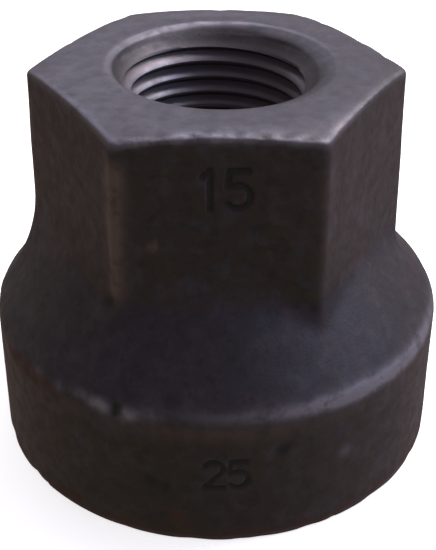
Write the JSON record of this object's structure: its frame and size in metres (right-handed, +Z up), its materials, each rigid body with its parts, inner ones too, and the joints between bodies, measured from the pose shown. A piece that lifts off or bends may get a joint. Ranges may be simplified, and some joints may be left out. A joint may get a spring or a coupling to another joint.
{
  "type": "pipe cap",
  "caption": "Reducing pipe cap: a round threaded skirt, a sloping shoulder and a hex end tapped through for a smaller pipe.",
  "frame": {"origin": "centre of the skirt's bottom rim, on the axis of both threads", "axes": "+Z up along the shared thread axis, from the skirt to the hex end; -Y is the normal of one hex flat"},
  "size_m": [0.0522, 0.0522, 0.044],
  "materials": {
    "black_iron": "black oxide over a forged skin, worn to grey metal along the edges, with a little rust"
  },
  "bodies": {
    "root": {"cap_body": "black_iron"}
  },
  "joints": []
}
